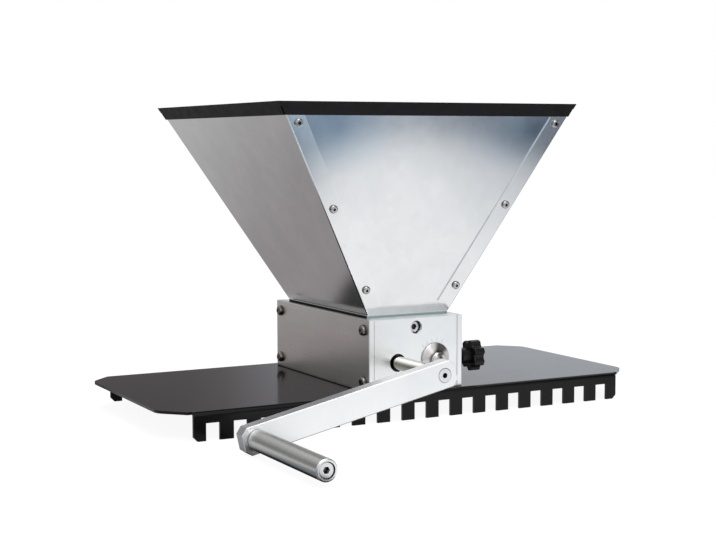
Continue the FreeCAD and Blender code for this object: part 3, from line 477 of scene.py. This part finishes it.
FINISHES = {
    # blue-grey painted reflection on the upper corners
    "galvanised_sheet": galvanised_sheet("galvanised_steel_painted_blue_corners", "#bfcedb"),
    "brushed_stainless": brushed_stainless(),
    "milled_aluminium": milled_aluminium(),
    "satin_aluminium": satin_aluminium(),
    # turning and grinding rings of 0.1 mm are drawn 0.6 and 0.5 mm wide, or they would not show
    # both bars take a painted shade on their lower side
    "turned_aluminium": turned_bar("satin_turned_aluminium", base="#c6c6c4", light="#cecfcd",
                                   under_shade="#6f6f6e", under_shade_level=-0.5, rough=(0.26, 0.32),
                                   ring_mm=0.6, depth_mm=0.002),
    "ground_steel": turned_bar("ground_steel_shaft", base="#c9c6c1", light="#d8d5d0",
                               under_shade="#8a8780", under_shade_level=0.4, rough=(0.1, 0.17),
                               ring_mm=0.5, depth_mm=0.002),
    "polished_steel": faced_steel(),
    "stainless_screws": stainless_fastener("tumbled_stainless_fastener", "#d6d7d8", "#e6e7e8"),
    "roller_steel": hardened_roller(),
    "bearing_bronze": sintered("sintered_oiled_bronze", "#8d6b3a", "#a9834a", "#bb9457",
                               (0.5, 0.34)),
    "sintered_iron": sintered("sintered_oiled_iron", "#3a3633", "#4b4845", "#57524e",
                              (0.52, 0.38)),
    "black_coated_steel": coated_steel(),
    "black_rubber": rubber_trim(),
    "black_knob_plastic": knob_plastic(),
}
MARKING = engraved_ink()

# nodes whose finish differs a little from that of their slot: painted light. The side panels'
# corners take a paler painted reflection, and two sets of screws a darker base as painted shade
PALE_CORNER_SHEET = galvanised_sheet("galvanised_steel_painted_pale_corners", "#f3fafd")
NODE_FINISHES = {
    "hopper_left_panel": PALE_CORNER_SHEET,
    "hopper_right_panel": PALE_CORNER_SHEET,
    "side_plate_screws": stainless_fastener("stainless_fastener_painted_deep_shade", "#746f6b", "#8f8a85"),
    "hopper_screws": stainless_fastener("stainless_fastener_painted_shade", "#a3a2a1", "#bfbebd"),
}

for part in frame["record"]["subparts"]:
    finish = NODE_FINISHES.get(part["node"], FINISHES[part["material_slot"]])
    for slot in frame["nodes"][part["node"]].material_slots:
        slot.material = finish


# New pieces

def new_piece(name, points, faces, finish):
    """Mesh object in the scene, from rows of points and faces, with one material."""
    mesh = bpy.data.meshes.new(name)
    mesh.from_pydata(points.tolist(), [], faces)
    mesh.update()
    mesh.materials.append(finish)
    piece = bpy.data.objects.new(name, mesh)
    bpy.context.scene.collection.objects.link(piece)
    return piece


def closed_rows(name, points, finish, body):
    """Closed mesh from an array of rings of points, with a flat face over both its ends."""
    rings, count = points.shape[:2]
    ring, step = np.meshgrid(np.arange(rings - 1), np.arange(count), indexing="ij")
    after = (step + 1) % count
    quads = np.stack([ring * count + step, ring * count + after, (ring + 1) * count + after,
                      (ring + 1) * count + step], axis=-1).reshape(-1, 4).tolist()
    caps = [list(range(count))[::-1], list(range((rings - 1) * count, rings * count))]
    piece = new_piece(name, points.reshape(-1, 3), quads + caps, finish)
    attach(piece, body)
    return piece


def threaded_stud(node, body):
    """Stud along X with a cut thread behind a plain tip.

    Its radius is the thread's foot plus its depth times a triangle wave of (distance along X /
    pitch - turn), where turn is the share of a full turn round the stud. The wave is clipped,
    which leaves flats of 0.115 pitches on crest and foot. The thread rises from the tip's radius
    over half a pitch, and at the far end sinks over half a pitch to 0.3 of its height over it.
    """
    rings, count = 193, 32
    pitch, depth, tip_radius, tip_length = 1.0 * MM, 0.58 * MM, 2.25 * MM, 2.0 * MM
    low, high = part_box(node)
    middle_y, middle_z = (low.y + high.y) / 2, (low.z + high.z) / 2
    outside = (high.y - low.y) / 2 - 0.01 * MM
    along = np.linspace(low.x, high.x, rings)[:, None]
    share = np.linspace(0.0, 1.0, count, endpoint=False)[None, :]
    phase = (along / pitch - share) % 1.0
    wave = np.clip(1.15 - 2.6 * np.abs(phase - 0.5), 0.0, 1.0)
    thread = outside - depth * (1.0 - wave)
    grown = np.clip((along - low.x - tip_length) / (0.5 * pitch), 0.0, 1.0)
    run_out = np.clip((high.x - along) / (0.5 * pitch), 0.0, 1.0)
    radius = tip_radius + (thread - tip_radius) * grown * (0.3 + 0.7 * run_out)
    turn = 2 * np.pi * share
    points = np.stack([np.broadcast_to(along, radius.shape), middle_y + radius * np.cos(turn),
                       middle_z + radius * np.sin(turn)], axis=-1)
    piece = closed_rows(node + "_thread", points, FINISHES["ground_steel"], body)
    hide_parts(node)


def engraved_marks(name, face_y, middle, degrees, radii, body):
    """Fine dark strokes that point at a middle, on a face square to Y, each one closed mesh.

    A stroke runs outwards from the first to the second radius at its angle from straight up
    towards +X. Its section is an ellipse, half sunk in the face, whose width and height follow
    the square root of (1 - distance from the stroke's middle to the sixth power), where 1 is
    half the stroke's length. Its ends stop just before this 1, so that they keep a face.
    """
    rings, count, stop = 9, 8, 0.999
    half_width, half_height = 0.14 * MM, 0.04 * MM
    inner, outer = radii
    along = np.linspace(-stop, stop, rings)[:, None]
    girth = 2 * np.pi * np.linspace(0.0, 1.0, count, endpoint=False)[None, :]
    fullness = np.sqrt(1.0 - along ** 6)
    radius = (inner + outer) / 2 + along * (outer - inner) / 2
    for number, angle in enumerate(np.radians(degrees), start=1):
        outward = np.array([math.sin(angle), 0.0, math.cos(angle)])
        across = np.array([math.cos(angle), 0.0, -math.sin(angle)])
        points = np.array([middle.x, face_y, middle.z]) + radius[..., None] * outward \
            + (half_width * fullness * np.cos(girth))[..., None] * across \
            - (half_height * fullness * np.sin(girth))[..., None] * np.array([0.0, 1.0, 0.0])
        closed_rows(f"{name}_{number}", points, MARKING, body)


def gap_scales():
    """Five strokes round each setter and one on its flange, which sweeps over them as it turns."""
    index_angle, flange_thickness = -5.5, 1.5 * MM
    stroke_radii, index_radii = (12.4 * MM, 15.0 * MM), (8.4 * MM, 10.8 * MM)
    joints = {joint["name"]: joint for joint in frame["record"]["behaviour"]["joints"]}
    for side, block_corner, outwards in (("front", 0, -1.0), ("rear", 1, 1.0)):
        joint = joints[side + "_gap_set"]
        start, stop = joint["range_deg"]
        middle = Vector(joint["pos_m"])
        block_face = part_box(side + "_end_block")[block_corner].y
        flange_face = block_face + outwards * flange_thickness
        engraved_marks(side + "_gap_stroke", block_face, middle,
                       np.linspace(start, stop, 5) + index_angle, stroke_radii, "mill")
        engraved_marks(side + "_gap_index", flange_face, middle, [index_angle], index_radii,
                       side + "_setter")


threaded_stud("front_lock_stud", "front_lock_screw")
threaded_stud("rear_lock_stud", "rear_lock_screw")
gap_scales()


# Studio: a white table in a grey room with soft lamps

def soft_ellipse(tree, place, middle, halves, turn=0.0):
    """Share from 1 inside an ellipse on the table to 0 outside it, with a soft border."""
    moved = add(tree, "ShaderNodeMapping",
                {"vector_type": "TEXTURE", "Location": (middle[0], middle[1], 0.0),
                 "Rotation": (0.0, 0.0, math.radians(turn)), "Scale": (halves[0], halves[1], 1.0)},
                {"Vector": place})
    reach = add(tree, "ShaderNodeVectorMath", {"operation": "LENGTH"},
                {0: moved.outputs["Vector"]}).outputs["Value"]
    return ranged(tree, reach, 1.0, 0.0, 0.9, 1.1)


def white_table():
    """Round white floor at the height of the feet.

    Mirrors see a picture on it: white in a lit ellipse that lies in front on the right, a dark
    blue band before that, pale beyond the band, grey behind, and a few lights and shades.
    """
    material = bpy.data.materials.new("white_table")
    tree = empty_tree(material)
    place = add(tree, "ShaderNodeTexCoord").outputs["Object"]
    axes = add(tree, "ShaderNodeSeparateXYZ", links={"Vector": place})
    across, along = axes.outputs["X"], axes.outputs["Y"]
    edge = blended(tree, ranged(tree, across, 0.0, 1.0, 0.2, 0.42), "#667a8e", "#3b4452")
    front = blended(tree, ranged(tree, along, 0.0, 1.0, -0.56, -0.485), "#f4f6f8", edge)
    rear = blended(tree, ranged(tree, along, 0.0, 1.0, 0.38, 0.85), "#9a9595", "#c0bfbe")
    far = blended(tree, ranged(tree, along, 0.0, 1.0, -0.35, 0.05), front, rear)
    near = blended(tree, ranged(tree, across, 0.0, 1.0, 0.19, 0.28), "#ffffff", "#dfe1e4")
    mirrored = blended(tree, soft_ellipse(tree, place, (0.165, -0.108), (0.19, 0.336), 20.0),
                       far, near)
    # middle and half size: light before the arm and on the left, shade behind and by the grip
    for middle, halves, colour in (((-0.045, -0.195), (0.105, 0.14), "#ffffff"),
                                   ((-0.24, -0.01), (0.075, 0.2), "#d2d2d2"),
                                   ((-0.07, 0.15), (0.05, 0.05), "#514e50"),
                                   ((-0.15, -0.13), (0.013, 0.1), "#2c2c2c")):
        mirrored = blended(tree, soft_ellipse(tree, place, middle, halves), mirrored, colour)
    path = add(tree, "ShaderNodeLightPath")
    shown = blended(tree, path.outputs["Is Glossy Ray"], "#ffffff", mirrored)
    diffuse = add(tree, "ShaderNodeBsdfDiffuse", links={"Color": shown})
    glow = add(tree, "ShaderNodeEmission", {"Strength": 1.05}, {"Color": shown})
    # it glows evenly where it is looked at, in a mirror too, and takes shadows by the rest
    looked_at = path.outputs["Is Camera Ray"]
    for kind in ("Is Glossy Ray", "Is Transmission Ray"):
        looked_at = add(tree, "ShaderNodeMath", {"operation": "MAXIMUM"},
                        {0: looked_at, 1: path.outputs[kind]}).outputs["Value"]
    share = add(tree, "ShaderNodeMath", {"operation": "MULTIPLY", 1: 0.88},
                {0: looked_at}).outputs["Value"]
    mixed = add(tree, "ShaderNodeMixShader",
                links={0: share, 1: diffuse.outputs["BSDF"], 2: glow.outputs["Emission"]})
    add(tree, "ShaderNodeOutputMaterial", links={"Surface": mixed.outputs["Shader"]})

    count, radius = 96, 6.0
    angles = np.linspace(0.0, 2 * np.pi, count, endpoint=False)
    rim = np.stack([radius * np.cos(angles), radius * np.sin(angles), np.zeros(count)], axis=1)
    table = new_piece("table", rim, [list(range(count))], material)


def grey_room():
    """World: white behind the mill, soft and even on dull surfaces, a grey room in mirrors.

    The room's walls change with the direction, turn white overhead, and have a dark curtain
    high up in front on the right.
    """
    world = bpy.data.worlds.new("studio")
    bpy.context.scene.world = world
    tree = empty_tree(world)
    path = add(tree, "ShaderNodeLightPath")
    sky = add(tree, "ShaderNodeTexCoord").outputs["Generated"]
    way = add(tree, "ShaderNodeSeparateXYZ", links={"Vector": sky})
    compass = add(tree, "ShaderNodeMath", {"operation": "ARCTAN2"},
                  {0: way.outputs["X"], 1: way.outputs["Y"]})
    turn = ranged(tree, compass.outputs["Value"], 0.0, 1.0, -math.pi, math.pi)
    room = add(tree, "ShaderNodeValToRGB", links={"Fac": turn})
    # degrees clockwise from the back of the mill, and the room's colour there
    walls = [(-180, "#ffffff"), (-150, "#ffffff"), (-125, "#cbcbcb"), (-100, "#898989"),
             (-85, "#656363"), (-58, "#656363"), (-42, "#8c8c8c"), (-28, "#8c8c8c"),
             (-8, "#848484"), (12, "#838181"), (19, "#7d7979"), (22, "#857f80"),
             (25, "#b6b5bb"), (32, "#f0f3f9"), (36, "#f1f7ff"), (80, "#dcdcdc"),
             (105, "#8f8b88"), (125, "#5f5955"), (136, "#6b6663"), (144, "#dcdcdc"),
             (162, "#ffffff"), (179, "#ffffff")]
    ramp = room.color_ramp.elements
    while len(ramp) < len(walls):
        ramp.new(0.5)
    for element, (angle, colour) in zip(ramp, walls):
        element.position = 0.5 + angle / 360
        element.color = tint(colour)
    overhead = ranged(tree, way.outputs["Z"], 0.0, 1.0, 0.25, 0.7)
    dome = blended(tree, overhead, room.outputs["Color"], "#ffffff")
    to_curtain = Vector((0.78, -0.37, 0.5)).normalized()
    nearness = add(tree, "ShaderNodeVectorMath", {"operation": "DOT_PRODUCT", 1: to_curtain},
                   {0: sky}).outputs["Value"]
    hung = blended(tree, ranged(tree, nearness, 0.0, 1.0, 0.88, 0.95), dome, "#2b2420")
    soft = blended(tree, path.outputs["Is Glossy Ray"], "#d9dbde", hung)
    clear = add(tree, "ShaderNodeMath", {"operation": "MAXIMUM"},
                {0: path.outputs["Is Camera Ray"],
                 1: path.outputs["Is Transmission Ray"]}).outputs["Value"]
    shown = blended(tree, clear, soft, "#ffffff")
    light = add(tree, "ShaderNodeBackground", {"Strength": 1.0}, {"Color": shown})
    add(tree, "ShaderNodeOutputWorld", links={"Surface": light.outputs["Background"]})


def soft_lamp(name, spot, aim, size, watts):
    """Square area lamp at a spot, turned towards a point, unseen by the camera."""
    data = bpy.data.lights.new(name, "AREA")
    data.size = size
    data.energy = watts
    lamp = bpy.data.objects.new(name, data)
    lamp.location = spot
    lamp.rotation_euler = (Vector(aim) - Vector(spot)).to_track_quat("-Z", "Y").to_euler()
    lamp.visible_camera = False
    bpy.context.scene.collection.objects.link(lamp)


white_table()
grey_room()
soft_lamp("front_lamp", (-0.2, -1.2, 1.35), (0.0, 0.0, 0.1), 0.8, 9.0)
soft_lamp("top_lamp", (-0.3, 0.1, 1.5), (0.0, 0.0, 0.1), 1.0, 8.0)
